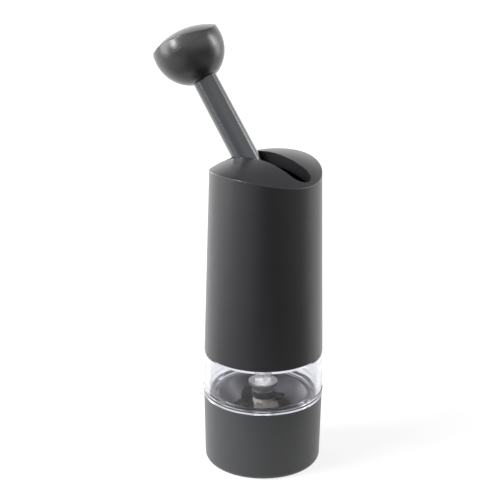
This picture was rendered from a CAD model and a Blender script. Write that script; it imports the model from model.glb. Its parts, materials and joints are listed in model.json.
"""A hand-operated spice mill of charcoal plastic with a swinging lever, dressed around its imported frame."""

import json
import math

import bmesh
import bpy
from mathutils import Matrix, Vector


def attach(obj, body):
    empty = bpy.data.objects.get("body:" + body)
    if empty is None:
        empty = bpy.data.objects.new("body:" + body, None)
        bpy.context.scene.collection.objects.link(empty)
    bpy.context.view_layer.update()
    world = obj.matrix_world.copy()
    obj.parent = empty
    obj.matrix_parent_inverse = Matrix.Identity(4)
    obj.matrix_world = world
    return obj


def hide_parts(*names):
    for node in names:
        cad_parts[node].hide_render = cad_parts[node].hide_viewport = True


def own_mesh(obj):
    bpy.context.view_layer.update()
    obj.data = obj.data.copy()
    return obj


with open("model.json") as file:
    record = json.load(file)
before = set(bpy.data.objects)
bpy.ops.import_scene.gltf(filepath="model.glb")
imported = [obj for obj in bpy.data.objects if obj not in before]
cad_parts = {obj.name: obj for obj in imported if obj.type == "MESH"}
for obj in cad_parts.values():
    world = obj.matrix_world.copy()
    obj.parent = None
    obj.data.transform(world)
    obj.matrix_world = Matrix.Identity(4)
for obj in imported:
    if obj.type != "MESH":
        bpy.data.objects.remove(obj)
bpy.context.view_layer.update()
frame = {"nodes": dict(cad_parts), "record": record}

MM = 0.001


# Shader arithmetic

class Link:
    """A shader output that takes part in Python arithmetic: each operator adds one Math node."""

    def __init__(self, shader, socket):
        self.shader = shader
        self.socket = socket

    def _math(self, operation, first, second):
        return self.shader.node("Math", {"operation": operation}, {0: first, 1: second})

    def __add__(self, other):
        return self._math("ADD", self, other)

    def __radd__(self, other):
        return self._math("ADD", other, self)

    def __sub__(self, other):
        return self._math("SUBTRACT", self, other)

    def __rsub__(self, other):
        return self._math("SUBTRACT", other, self)

    def __mul__(self, other):
        return self._math("MULTIPLY", self, other)

    def __rmul__(self, other):
        return self._math("MULTIPLY", other, self)


class Shader:
    """One material's nodes. node() adds any node and returns the output that is asked for."""

    def __init__(self, name):
        self.material = bpy.data.materials.new(name)
        self.material.use_nodes = True
        self.tree = self.material.node_tree
        self.tree.nodes.clear()

    @classmethod
    def on_tree(cls, tree):
        """A shader that builds in a tree that is already there, such as the world's."""
        shader = cls.__new__(cls)
        shader.tree = tree
        tree.nodes.clear()
        return shader

    def node(self, kind, settings=None, sockets=None, output=0):
        node = self.tree.nodes.new("ShaderNode" + kind)
        for name, value in (settings or {}).items():
            if name == "stops":
                ramp = node.color_ramp
                while len(ramp.elements) < len(value):
                    ramp.elements.new(0.5)
                for element, (place, tone) in zip(ramp.elements, value):
                    element.position = place
                    element.color = tone
            else:
                setattr(node, name, value)
        for name, value in (sockets or {}).items():
            if isinstance(value, Link):
                self.tree.links.new(value.socket, node.inputs[name])
            else:
                node.inputs[name].default_value = value
        return Link(self, node.outputs[output]) if node.outputs else None

    def place(self):
        return self.node("TexCoord", output="Object")

    def from_axis(self):
        """The distance from the mill's axis, in metres."""
        flat = self.node("VectorMath", {"operation": "MULTIPLY"}, {0: self.place(), 1: (1, 1, 0)})
        return self.node("VectorMath", {"operation": "LENGTH"}, {0: flat}, output="Value")

    def along(self, vector, way):
        """How far a vector reaches in a direction."""
        sockets = {0: vector, 1: tuple(way)}
        return self.node("VectorMath", {"operation": "DOT_PRODUCT"}, sockets, output="Value")

    def fade(self, value, start, end):
        """0 up to start, 1 from end on, and soft between. Start may lie above end, which turns it round."""
        return self.node("MapRange", {"interpolation_type": "SMOOTHSTEP"}, {
            "Value": value, "From Min": min(start, end), "From Max": max(start, end),
            "To Min": 0.0 if start < end else 1.0, "To Max": 1.0 if start < end else 0.0})

    def noise(self, scale, detail=2.0, stretch=(1, 1, 1), roughness=0.5):
        """Noise over the piece in its own space, from 0 to 1, with scale in lumps per metre."""
        point = self.node("Mapping", sockets={"Vector": self.place(), "Scale": stretch})
        return self.node("TexNoise", sockets={
            "Vector": point, "Scale": scale, "Detail": detail, "Roughness": roughness})

    def ramp(self, factor, stops):
        return self.node("ValToRGB", {"stops": stops}, {"Fac": factor})

    def bump(self, height, distance, strength=1.0):
        return self.node("Bump", sockets={"Height": height, "Distance": distance, "Strength": strength})

    def finish(self, sockets):
        surface = self.node("BsdfPrincipled", sockets=sockets)
        self.node("OutputMaterial", sockets={"Surface": surface})
        return self.material


def linear(tone):
    """An sRGB value from 0 to 255 as the linear value that the shader takes."""
    share = tone / 255
    return share / 12.92 if share <= 0.04045 else ((share + 0.055) / 1.055) ** 2.4


def colour(red, green, blue):
    return (linear(red), linear(green), linear(blue), 1)


def between(low, high, mask):
    return low + (high - low) * mask


# Materials

COAT_ROUGHNESS = 0.22
POLISH_SPREAD = 0.035
GRAIN_STRENGTH = 0.3


def satin_plastic(name, dark, light, rough, specular, grain, coat=0.0):
    """Moulded plastic: faintly cloudy, finely grained, softly varying in polish, and coated on request."""
    shader = Shader(name)
    cloud = shader.noise(35, 3)
    handled = shader.noise(160, 4)
    skin = shader.noise(5200, 2)
    tone = shader.ramp(cloud * 0.7 + handled * 0.3, [(0.3, dark), (0.7, light)])
    return shader.finish({
        "Base Color": tone,
        "Roughness": between(rough - POLISH_SPREAD, rough + POLISH_SPREAD, handled * 0.6 + skin * 0.4),
        "Specular IOR Level": specular,
        "Coat Weight": coat,
        "Coat Roughness": COAT_ROUGHNESS,
        "Normal": shader.bump(skin, grain * MM, GRAIN_STRENGTH),
    })


CLEAR_INDEX = 1.36
CLEAR_ROUGHNESS = (0.05, 0.08)
CLEAR_SHADE = (0.86, 0.86, 0.88, 1)


def clear_plastic(name):
    """Clear moulded plastic that bends what the camera sees, and lets lamps and matt light through unbent."""
    shader = Shader(name)
    haze = shader.noise(300, 2)
    clear = shader.node("BsdfPrincipled", sockets={
        "Base Color": colour(237, 237, 242),
        "Roughness": between(*CLEAR_ROUGHNESS, haze),
        "IOR": CLEAR_INDEX,
        "Transmission Weight": 1.0,
    })
    open_air = shader.node("BsdfTransparent", sockets={"Color": CLEAR_SHADE})
    is_shadow = shader.node("LightPath", output="Is Shadow Ray")
    is_diffuse = shader.node("LightPath", output="Is Diffuse Ray")
    surface = shader.node("MixShader", sockets={0: is_shadow + is_diffuse, 1: clear, 2: open_air})
    shader.node("OutputMaterial", sockets={"Surface": surface})
    return shader.material


def drawn_metal(name, dark, light, rough, stretch):
    """Drawn or turned metal with fine lines along the way it was worked."""
    shader = Shader(name)
    lines = shader.noise(900, 3, stretch)
    stain = shader.noise(120, 3)
    tone = shader.ramp(lines * 0.6 + stain * 0.4, [(0.25, dark), (0.75, light)])
    return shader.finish({
        "Base Color": tone,
        "Metallic": 1.0,
        "Roughness": between(rough - 0.05, rough + 0.07, lines),
        "Normal": shader.bump(lines, 0.01 * MM, 0.4),
    })


def fired_ceramic(name):
    """Matt ceramic with small darker specks."""
    shader = Shader(name)
    specks = shader.noise(2600, 2, roughness=0.7)
    cloud = shader.noise(220, 3)
    tone = shader.ramp(specks * 0.6 + cloud * 0.4, [
        (0.32, colour(120, 110, 100)), (0.45, colour(176, 166, 152)), (0.75, colour(198, 189, 176))])
    return shader.finish({
        "Base Color": tone,
        "Roughness": between(0.42, 0.6, cloud),
        "Normal": shader.bump(specks, 0.03 * MM, 0.6),
    })


def soft_rubber(name):
    shader = Shader(name)
    skin = shader.noise(3000, 3)
    return shader.finish({
        "Base Color": shader.ramp(skin, [(0.3, colour(22, 22, 22)), (0.7, colour(34, 34, 34))]),
        "Roughness": between(0.7, 0.9, skin),
        "Normal": shader.bump(skin, 0.05 * MM, 0.6),
    })


SATIN = satin_plastic("charcoal_satin", colour(26, 26, 29), colour(29, 29, 32), 0.36, 0.44, 0.006)
KNOB_SATIN = satin_plastic("knob_satin", colour(35, 35, 36), colour(39, 39, 40), 0.29, 0.5, 0.003)
LEVER_SATIN = satin_plastic("lever_satin", colour(29, 32, 36), colour(33, 36, 40), 0.3, 0.3, 0.003, 0.8)
BASE_SATIN = satin_plastic("base_satin", colour(45, 46, 48), colour(49, 50, 52), 0.42, 0.5, 0.012)
BLACK = satin_plastic("black_gloss", colour(44, 45, 47), colour(50, 51, 53), 0.22, 0.5, 0.006)
FUNNEL = satin_plastic("funnel_grey", colour(66, 67, 72), colour(74, 75, 80), 0.45, 0.5, 0.012)
GREY = satin_plastic("frame_grey", colour(110, 111, 113), colour(120, 121, 123), 0.5, 0.5, 0.02)
GEAR = satin_plastic("gear_ivory", colour(214, 210, 198), colour(224, 220, 208), 0.45, 0.5, 0.02)
CLEAR = clear_plastic("clear_plastic")
STEEL = drawn_metal("drawn_steel", colour(150, 149, 147), colour(184, 183, 181), 0.3, (1, 1, 0.02))
TURNED = drawn_metal("turned_steel", colour(160, 160, 158), colour(196, 196, 194), 0.28, (1, 1, 8))
BRASS = drawn_metal("turned_brass", colour(176, 146, 92), colour(206, 176, 118), 0.3, (1, 1, 8))
CERAMIC = fired_ceramic("fired_ceramic")
RUBBER = soft_rubber("black_rubber")

FINISHES = {
    "shell_plastic": SATIN,
    "clear_plastic": CLEAR,
    "dark_plastic": BLACK,
    "grey_plastic": GREY,
    "gear_plastic": GEAR,
    "steel": STEEL,
    "brass": BRASS,
    "ceramic": CERAMIC,
    "rubber": RUBBER,
}
SPECIAL_FINISHES = {
    "lever_arm": LEVER_SATIN,
    "knob_bowl": KNOB_SATIN,
    "knob_cap": KNOB_SATIN,
    "base_cup": BASE_SATIN,
    "grinder_housing": FUNNEL,
    "shaft_collar": TURNED,
}


# Pieces: what every one of them gets

slot_of = {entry["node"]: entry["material_slot"] for entry in frame["record"]["subparts"]}
body_of = {node: body for body, nodes in frame["record"]["behaviour"]["bodies"].items() for node in nodes}

MERGE = 0.0005 * MM
SMOOTH_ANGLE = math.radians(28)


def finish_of(node):
    return SPECIAL_FINISHES.get(node, FINISHES[slot_of[node]])


def present(work, node):
    """Makes a finished mesh the piece that stands for its node, smooth except at its hard edges."""
    bmesh.ops.remove_doubles(work, verts=work.verts, dist=MERGE)
    for face in work.faces:
        face.smooth = True
    for edge in work.edges:
        edge.smooth = edge.calc_face_angle(0) < SMOOTH_ANGLE
    mesh = bpy.data.meshes.new(node + "_fine")
    work.to_mesh(mesh)
    work.free()
    mesh.materials.append(finish_of(node))
    piece = bpy.data.objects.new(node + "_fine", mesh)
    bpy.context.scene.collection.objects.link(piece)
    even = piece.modifiers.new("even_shading", "WEIGHTED_NORMAL")
    even.keep_sharp = True
    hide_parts(node)
    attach(piece, body_of[node])
    return piece


def node_copy(node):
    """A copy of a node's mesh with its loose triangles merged."""
    work = bmesh.new()
    work.from_mesh(frame["nodes"][node].data)
    bmesh.ops.remove_doubles(work, verts=work.verts, dist=MERGE)
    return work


# Skins grown from ring to ring around Z. A ring gives the reach and the height in mm for an angle.

FIRST_GROWN = 2
MEETING_STEPS = 30


def ring_layer(work):
    layers = work.edges.layers.int
    return layers.get("ring") or layers.new("ring")


def settle(verts, ring):
    for vert in verts:
        angle = math.atan2(vert.co.y, vert.co.x)
        reach, height = ring(angle)
        vert.co = Vector((reach * math.cos(angle), reach * math.sin(angle), height))


def start_ring(work, steps, ring):
    layer = ring_layer(work)
    verts = bmesh.ops.create_circle(work, segments=steps, radius=1)["verts"]
    edges = list(dict.fromkeys(edge for vert in verts for edge in vert.link_edges))
    settle(verts, ring)
    for edge in edges:
        edge[layer] = FIRST_GROWN - 1
    return edges


def grow_rings(work, edges, rings):
    """Extrudes a ring of edges through the rings in turn, and numbers the edges of each."""
    layer = ring_layer(work)
    for number, ring in enumerate(rings, FIRST_GROWN):
        grown = bmesh.ops.extrude_edge_only(work, edges=edges)["geom"]
        verts = dict.fromkeys(item for item in grown if isinstance(item, bmesh.types.BMVert))
        touching = dict.fromkeys(edge for vert in verts for edge in vert.link_edges)
        edges = [edge for edge in touching if edge.verts[0] in verts and edge.verts[1] in verts]
        settle(verts, ring)
        for edge in edges:
            edge[layer] = number


def soften(work, number, amount, segments=5):
    """Rounds the edges of one numbered ring."""
    layer = ring_layer(work)
    edges = [edge for edge in work.edges if edge[layer] == number]
    bmesh.ops.bevel(work, geom=edges, offset=amount, offset_type="OFFSET", segments=segments,
                    profile=0.5, material=-1, affect="EDGES", clamp_overlap=True)


def close_ends(work):
    """Fills the open rings, turns every face outwards and brings millimetres to metres."""
    bmesh.ops.holes_fill(work, edges=[edge for edge in work.edges if edge.is_boundary], sides=0)
    bmesh.ops.recalc_face_normals(work, faces=work.faces)
    bmesh.ops.scale(work, verts=work.verts, vec=(MM, MM, MM))


def dome_height(across, along, half_width, long_drop, cross_drop):
    """How far a domed top lies below its middle, at a place along X and across it."""
    long_arc = (half_width ** 2 + long_drop ** 2) / (long_drop * 2)
    cross_arc = (half_width ** 2 + cross_drop ** 2) / (cross_drop * 2)
    spine = cross_arc - long_arc + math.sqrt(long_arc ** 2 - along ** 2)
    return math.sqrt(spine ** 2 - across ** 2) - cross_arc


def meeting(side, top, guess):
    """A ring where a side, a reach for a height, meets a top, a height for a place."""
    def ring(angle):
        height = guess
        for _ in range(MEETING_STEPS):
            reach = side(height)
            height = top(reach * math.cos(angle), reach * math.sin(angle))
        return side(height), height
    return ring


def blend_ring(first, second, share, top):
    """A ring between two others, laid on a top."""
    def ring(angle):
        reach = first(angle)[0] * (1 - share) + second(angle)[0] * share
        return reach, top(reach * math.cos(angle), reach * math.sin(angle))
    return ring


def level(reach, height):
    return lambda angle: (reach, height)


# Outer shell: the node up to a cut above the door, and a fresh top with a softly rounded rim and slot

SHELL_LOW = 57.9
SHELL_LOW_RADIUS = 28.6
SHELL_TAPER = 2.2
SHELL_HEIGHT = 98.2
SHELL_WALL = 2.2
SHELL_APEX = SHELL_LOW + SHELL_HEIGHT
SHELL_TOP_RADIUS = SHELL_LOW_RADIUS - SHELL_TAPER
SHELL_CUT = 131.0
SHELL_JOIN = SHELL_CUT + 1
SHELL_LONG_DROP = 9.2
SHELL_CROSS_DROP = 4.4
SLOT_HALF_WIDTH = 6.1
SLOT_REACH = 24.5
SKIRT_WALL = 1.5
SKIRT_DEPTH = 6.2
RIM_ROUND = 0.5
RIM_LEAD = 2.5
SLOT_ROUND = 0.5
SLOT_SEGMENTS = 7
END_CLEARANCE = 0.02
SHELL_STEPS = 256


def shell_side(height):
    return SHELL_LOW_RADIUS - SHELL_TAPER * (height - SHELL_LOW) / SHELL_HEIGHT


def shell_inside(height):
    return shell_side(height) - SHELL_WALL


def shell_top(x, y):
    return SHELL_APEX + dome_height(y, x, SHELL_TOP_RADIUS, SHELL_LONG_DROP, SHELL_CROSS_DROP)


def slot_edge(grow):
    """How far the slot's outline, grown all round, lies from the axis."""
    half = SLOT_HALF_WIDTH + grow
    centre = SLOT_REACH - SLOT_HALF_WIDTH

    def reach(angle):
        along, across = abs(math.cos(angle)), abs(math.sin(angle))
        if across * centre > half * along:
            return half / across
        return centre * along + math.sqrt(half ** 2 - (centre * across) ** 2)
    return reach


def shell_piece():
    work = node_copy("outer_shell")
    bmesh.ops.bisect_plane(work, geom=[*work.verts, *work.edges, *work.faces], dist=MERGE,
                           plane_co=(0, 0, SHELL_CUT * MM), plane_no=(0, 0, 1), clear_outer=True)
    bmesh.ops.scale(work, verts=work.verts, vec=(1 / MM, 1 / MM, 1 / MM))
    slot = slot_edge(0)
    skirt = slot_edge(SKIRT_WALL)

    def inner_top(x, y):
        return shell_top(x, y) - SHELL_WALL

    def skirt_bottom(x, y):
        return shell_top(x, y) - SKIRT_DEPTH

    rim = meeting(shell_side, shell_top, SHELL_APEX)
    inner_rim = meeting(shell_inside, inner_top, SHELL_APEX)

    def on_top(reach, top):
        def ring(angle):
            out = min(reach(angle), shell_inside(SHELL_APEX - SHELL_LONG_DROP) - END_CLEARANCE)
            return out, top(out * math.cos(angle), out * math.sin(angle))
        return ring

    def lip(angle):
        reach = slot(angle)
        return reach, shell_top(reach * math.cos(angle), reach * math.sin(angle))

    def lip_bottom(angle):
        reach = slot(angle)
        return reach, skirt_bottom(reach * math.cos(angle), reach * math.sin(angle))

    def below(ring, drop, side):
        def lower(angle):
            height = ring(angle)[1] - drop
            return side(height), height
        return lower

    start = start_ring(work, SHELL_STEPS, level(shell_side(SHELL_JOIN), SHELL_JOIN))
    shares = (0.06, 0.18, 0.32, 0.46, 0.6, 0.74, 0.86, 0.95)
    outer = [below(rim, RIM_LEAD, shell_side), rim,
             *(blend_ring(rim, lip, share, shell_top) for share in shares),
             lip, lip_bottom, on_top(skirt, skirt_bottom), on_top(skirt, inner_top),
             blend_ring(on_top(skirt, inner_top), inner_rim, 0.5, inner_top), inner_rim,
             level(shell_inside(SHELL_JOIN), SHELL_JOIN)]
    rim_number = FIRST_GROWN + 1
    lip_number = rim_number + len(shares) + 1
    grow_rings(work, start, outer)
    soften(work, rim_number, RIM_ROUND)
    soften(work, lip_number, SLOT_ROUND, SLOT_SEGMENTS)
    wall_middle = shell_side(SHELL_CUT) - SHELL_WALL / 2
    open_edges = [edge for edge in work.edges if edge.is_boundary]
    outer_loops = [edge for edge in open_edges if edge.verts[0].co.xy.length > wall_middle]
    inner_loops = [edge for edge in open_edges if edge.verts[0].co.xy.length <= wall_middle]
    bmesh.ops.bridge_loops(work, edges=outer_loops)
    bmesh.ops.bridge_loops(work, edges=inner_loops)
    bmesh.ops.recalc_face_normals(work, faces=work.faces)
    bmesh.ops.scale(work, verts=work.verts, vec=(MM, MM, MM))
    return present(work, "outer_shell")


# Lever and knob, made upright along Z from the pivot and then leant

PIVOT_HEIGHT = 137.1
LEVER_LEAN = math.radians(-36.1)
LEVER_DEPTH = 13.0
LEVER_THICK = 11.6
LEVER_TAPER = 0.6
LEVER_LENGTH = 65.6
HUB_RADIUS = 7.6
HUB_HALF = 5.9
HUB_ROUND = 0.4
BAR_FOOT = 1.5
LEVER_STEPS = 96
AXLE_BORE = 2.06
KNOB_RADIUS = 16.9
KNOB_BOWL_DEPTH = 17.9
KNOB_CROWN_HEIGHT = 18.6
KNOB_WAIST = 77.7
KNOB_LOW = 61.2
KNOB_TOP = 86.8
KNOB_LONG_DROP = 7.0
KNOB_CROSS_DROP = 3.4
KNOB_STEPS = 160
KNOB_EDGE_ROUND = 0.3
WAIST_FLAT_START = 3.0
WAIST_LINE = 0.06
WAIST_SEGMENTS = 4
SEAT_GAP = 0.05


def lean(work):
    """Leans a piece made upright along Z from the pivot, and lifts it to the pivot."""
    turn = Matrix.Translation((0, 0, PIVOT_HEIGHT * MM)) @ Matrix.Rotation(LEVER_LEAN, 4, "Y")
    bmesh.ops.transform(work, verts=work.verts, matrix=turn)


def oval_ring(grow, height):
    """A ring on the lever's oval bar, which tapers evenly, all round larger by a clearance."""
    taper = LEVER_TAPER / 2 * height / LEVER_LENGTH
    depth = LEVER_DEPTH / 2 - taper + grow
    thick = LEVER_THICK / 2 - taper + grow

    def ring(angle):
        reach = depth * thick / math.hypot(thick * math.cos(angle), depth * math.sin(angle))
        return reach, height
    return ring


def lever_piece():
    work = bmesh.new()
    start = start_ring(work, LEVER_STEPS, oval_ring(0, AXLE_BORE + BAR_FOOT))
    grow_rings(work, start, [oval_ring(0, height) for height in (8, 20, 34, 48, KNOB_LOW, LEVER_LENGTH)])
    close_ends(work)
    hub = bmesh.new()
    start = start_ring(hub, LEVER_STEPS, level(HUB_RADIUS, -HUB_HALF))
    grow_rings(hub, start, [level(HUB_RADIUS, HUB_HALF), level(AXLE_BORE, HUB_HALF),
                            level(AXLE_BORE, -HUB_HALF)])
    soften(hub, FIRST_GROWN, HUB_ROUND)
    bmesh.ops.bridge_loops(hub, edges=[edge for edge in hub.edges if edge.is_boundary])
    bmesh.ops.recalc_face_normals(hub, faces=hub.faces)
    bmesh.ops.scale(hub, verts=hub.verts, vec=(MM, MM, MM))
    bmesh.ops.rotate(hub, verts=hub.verts, matrix=Matrix.Rotation(math.radians(90), 3, "X"))
    joined = bpy.data.meshes.new("lever_hub")
    hub.to_mesh(joined)
    hub.free()
    work.from_mesh(joined)
    bpy.data.meshes.remove(joined)
    lean(work)
    return present(work, "lever_arm")


def bowl_reach(height):
    share = min(1.0, (KNOB_WAIST - height) / KNOB_BOWL_DEPTH)
    return KNOB_RADIUS * math.sqrt(1 - share ** 2)


def crown_reach(height):
    arc = KNOB_CROWN_HEIGHT ** 2 / KNOB_RADIUS
    return KNOB_RADIUS - arc + math.sqrt(arc ** 2 - (height - KNOB_WAIST) ** 2)


def knob_top(x, y):
    return KNOB_TOP + dome_height(y, x, KNOB_RADIUS, KNOB_LONG_DROP, KNOB_CROSS_DROP)


def knob_bowl_piece():
    """The bowl: a round half ellipsoid with a socket for the lever's end."""
    work = bmesh.new()
    start = start_ring(work, KNOB_STEPS, level(WAIST_FLAT_START, KNOB_WAIST))
    drops = [0, 0.5, 1.5, 3, 4.5, 6, 7.5, 9, 10.5, 12, 13.2, 14.3, 15.2, 15.9, KNOB_WAIST - KNOB_LOW]
    rings = [level(bowl_reach(KNOB_WAIST - drop), KNOB_WAIST - drop) for drop in drops]
    rings += [oval_ring(SEAT_GAP, KNOB_LOW), oval_ring(SEAT_GAP, LEVER_LENGTH)]
    grow_rings(work, start, rings)
    soften(work, FIRST_GROWN, WAIST_LINE, WAIST_SEGMENTS)
    close_ends(work)
    lean(work)
    return present(work, "knob_bowl")


def knob_cap_piece():
    """The cap: the crown above the waist under a domed top that falls more along the lever's swing."""
    work = bmesh.new()
    rim = meeting(crown_reach, knob_top, KNOB_WAIST + 5)
    start = start_ring(work, KNOB_STEPS, level(WAIST_FLAT_START, KNOB_WAIST))

    def crown(share):
        def ring(angle):
            height = KNOB_WAIST + (rim(angle)[1] - KNOB_WAIST) * share
            return crown_reach(height), height
        return ring

    shares = (0.1, 0.3, 0.5, 0.7, 0.88)
    tops = (0.05, 0.15, 0.3, 0.45, 0.6, 0.75, 0.88, 0.97)
    middle = level(0.0, 0.0)
    rings = [level(KNOB_RADIUS, KNOB_WAIST), *(crown(share) for share in shares), rim,
             *(blend_ring(rim, middle, share, knob_top) for share in tops)]
    grow_rings(work, start, rings)
    soften(work, FIRST_GROWN, WAIST_LINE, WAIST_SEGMENTS)
    soften(work, FIRST_GROWN + 1 + len(shares), KNOB_EDGE_ROUND)
    close_ends(work)
    lean(work)
    return present(work, "knob_cap")


RING_LOW = 35.3
RING_FOOT_INSIDE = 25.9
FOOT_LIFT = 0.03


def clear_ring_piece():
    """The node with its foot lifted by a hair off the base's rim, so that the two faces don't coincide."""
    work = node_copy("clear_ring")
    for vert in work.verts:
        if abs(vert.co.z - RING_LOW * MM) < MERGE and vert.co.xy.length > RING_FOOT_INSIDE * MM:
            vert.co.z += FOOT_LIFT * MM
    return present(work, "clear_ring")


FRESH_PIECES = {
    "clear_ring": clear_ring_piece,
    "outer_shell": shell_piece,
    "lever_arm": lever_piece,
    "knob_bowl": knob_bowl_piece,
    "knob_cap": knob_cap_piece,
}
for name in sorted(frame["nodes"]):
    if name in FRESH_PIECES:
        FRESH_PIECES[name]()
    else:
        present(node_copy(name), name)


# The ratchet's spring shortens as the disc slips down onto it

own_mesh(bpy.data.objects["ratchet_spring_fine"])


# Camera: the photograph's view

CAMERA_TARGET = Vector((0, 0, 100 * MM))
CAMERA_AZIMUTH = math.radians(35.783)
CAMERA_HEIGHT = math.radians(21.655)
CAMERA_ROLL = math.radians(0.696)
CAMERA_DISTANCE = 1.0
FOCAL_PIXELS = 2096.0
FRAME_PIXELS = 500.0
SENSOR_WIDTH = 36.0
AXIS_PIXEL = (264.52, 266.99)

toward = Vector((math.sin(CAMERA_AZIMUTH) * math.cos(CAMERA_HEIGHT),
                 -math.cos(CAMERA_AZIMUTH) * math.cos(CAMERA_HEIGHT), math.sin(CAMERA_HEIGHT)))
across = Vector((math.cos(CAMERA_AZIMUTH), math.sin(CAMERA_AZIMUTH), 0))
upward = toward.cross(across)
ahead = Vector((math.sin(CAMERA_AZIMUTH), -math.cos(CAMERA_AZIMUTH), 0))


def make_camera():
    right = math.cos(CAMERA_ROLL) * across + math.sin(CAMERA_ROLL) * upward
    top = -math.sin(CAMERA_ROLL) * across + math.cos(CAMERA_ROLL) * upward
    data = bpy.data.cameras.new("camera")
    data.sensor_width = SENSOR_WIDTH
    data.lens = FOCAL_PIXELS / FRAME_PIXELS * SENSOR_WIDTH
    data.shift_x = (FRAME_PIXELS / 2 - AXIS_PIXEL[0]) / FRAME_PIXELS
    data.shift_y = (AXIS_PIXEL[1] - FRAME_PIXELS / 2) / FRAME_PIXELS
    data.clip_start = 0.05
    camera = bpy.data.objects.new("camera", data)
    turn = Matrix((right, top, toward)).transposed().to_4x4()
    camera.matrix_world = Matrix.Translation(CAMERA_TARGET + CAMERA_DISTANCE * toward) @ turn
    bpy.context.scene.collection.objects.link(camera)
    bpy.context.scene.camera = camera


make_camera()


# Light: soft boxes to the left, the right and behind, in a pale room that is dim in front of the mill

LIGHTS = [
    # name, turn and height in degrees from the camera's side, distance, width, height, power
    ("left_box", -78, 8, 0.9, 0.48, 0.9, 10.0),
    ("left_back", -135, 8, 0.9, 0.48, 0.9, 12.8),
    ("right_box", 108, 8, 0.9, 0.4, 0.9, 3.6),
    ("key", -47, 14, 0.8, 0.19, 0.19, 3.8),
    ("right_strip", 88, 29, 0.8, 0.18, 0.35, 2.0),
    ("overhead", -50, 46, 0.9, 0.3, 0.14, 8.0),
]
ROOM_DIFFUSE = 0.1
ROOM_BACK = 1.7
ROOM_BACK_HIGH = 0.5
ROOM_FRONT = 0.34
ROOM_FRONT_HIGH = 1.6
FRONT_RISE = (0.12, 0.5)
BACK_RISE = (0.15, 0.7)
BACK_TO_FRONT = (-0.35, 0.45)
FLOOR_NEAR = 1.0
FLOOR_FRONT = 0.0
FLOOR_LEFT = 0.6
FLOOR_RIGHT = 0.5
FLOOR_BEHIND = 1.2
FLOOR_TONE = 0.2
FLOOR_SEEN_NEAR = 0.84
FLOOR_SEEN_FAR = 0.93


def soft_light(name, turn, height, distance, width, tall, power):
    """A soft box in the given direction from the camera's side, facing the mill."""
    turn = math.radians(turn)
    height = math.radians(height)
    way = math.sin(turn) * math.cos(height) * across + math.sin(height) * upward + \
        math.cos(turn) * math.cos(height) * toward
    data = bpy.data.lights.new(name, "AREA")
    data.shape = "RECTANGLE"
    data.size = width
    data.size_y = tall
    data.energy = power
    light = bpy.data.objects.new(name, data)
    light.matrix_world = Matrix.Translation(CAMERA_TARGET + way * distance) @ \
        way.to_track_quat("Z", "Y").to_matrix().to_4x4()
    bpy.context.scene.collection.objects.link(light)


for settings in LIGHTS:
    soft_light(*settings)


def seen_level(shader, diffuse, glossy, seen):
    """A level of light that depends on what looks at it: a matt surface, a glossy one, or the camera.

    What the camera sees through the clear plastic counts as seen by the camera.
    """
    is_camera = shader.node("LightPath", output="Is Camera Ray")
    is_through = shader.node("LightPath", output="Is Transmission Ray")
    is_mirrored = shader.node("LightPath", output="Is Glossy Ray") * (1 - is_through)
    return diffuse + is_mirrored * (glossy - diffuse) + (is_camera + is_through) * (seen - diffuse)


def make_world():
    world = bpy.data.worlds.new("pale_room")
    world.use_nodes = True
    shader = Shader.on_tree(world.node_tree)
    way = shader.node("TexCoord", output="Generated")
    front = shader.along(way, ahead)
    rise = shader.node("SeparateXYZ", sockets={0: way}, output="Z")
    in_front = between(ROOM_FRONT, ROOM_FRONT_HIGH, shader.fade(rise, *FRONT_RISE))
    behind = between(ROOM_BACK, ROOM_BACK_HIGH, shader.fade(rise, *BACK_RISE))
    glossy = behind + (in_front - behind) * shader.fade(front, *BACK_TO_FRONT)
    background = shader.node("Background", sockets={
        "Color": (1, 1, 1, 1), "Strength": seen_level(shader, ROOM_DIFFUSE, glossy, 1.0)})
    shader.node("OutputWorld", sockets={"Surface": background})
    bpy.context.scene.world = world


make_world()


# Floor: plain and pale, without an edge in view

FLOOR_RADIUS = 3.0
FLOOR_STEPS = 96
LEFT_FADE = (-20 * MM, -220 * MM)
RIGHT_FADE = (160 * MM, 300 * MM)
BEHIND_FADE = (60 * MM, -60 * MM)
NEAR_FADE = (80 * MM, 155 * MM)
SEEN_FADE = (60 * MM, 260 * MM)
HORIZON_FADE = (400 * MM, 1200 * MM)


def pale_floor():
    """The floor's finish. Its level differs by kind of ray, so it isn't sampled as a lamp."""
    shader = Shader("pale_floor")
    out = shader.from_axis()
    aside = shader.along(shader.place(), across)
    forward = shader.along(shader.place(), ahead)
    sides = FLOOR_LEFT * shader.fade(aside, *LEFT_FADE) + FLOOR_RIGHT * shader.fade(aside, *RIGHT_FADE)
    far = shader.node("Math", {"operation": "MAXIMUM"}, {
        0: between(FLOOR_FRONT, 1.0, sides), 1: FLOOR_BEHIND * shader.fade(forward, *BEHIND_FADE)})
    glossy = FLOOR_NEAR + (far - FLOOR_NEAR) * shader.fade(out, *NEAR_FADE)
    seen = between(FLOOR_SEEN_NEAR, FLOOR_SEEN_FAR, shader.fade(out, *SEEN_FADE)) + \
        (1 - FLOOR_SEEN_FAR) * shader.fade(out, *HORIZON_FADE)
    finish = shader.finish({
        "Base Color": (FLOOR_TONE, FLOOR_TONE, FLOOR_TONE, 1),
        "Roughness": 0.9,
        "Specular IOR Level": 0.0,
        "Emission Color": seen_level(shader, 0.0, glossy, seen),
        "Emission Strength": 1.0,
    })
    finish.cycles.emission_sampling = "NONE"
    return finish


def make_floor():
    work = bmesh.new()
    bmesh.ops.create_circle(work, cap_ends=True, segments=FLOOR_STEPS, radius=FLOOR_RADIUS)
    mesh = bpy.data.meshes.new("floor")
    work.to_mesh(mesh)
    work.free()
    mesh.materials.append(pale_floor())
    floor = bpy.data.objects.new("floor", mesh)
    bpy.context.scene.collection.objects.link(floor)


make_floor()

bpy.context.scene.view_settings.view_transform = "Standard"
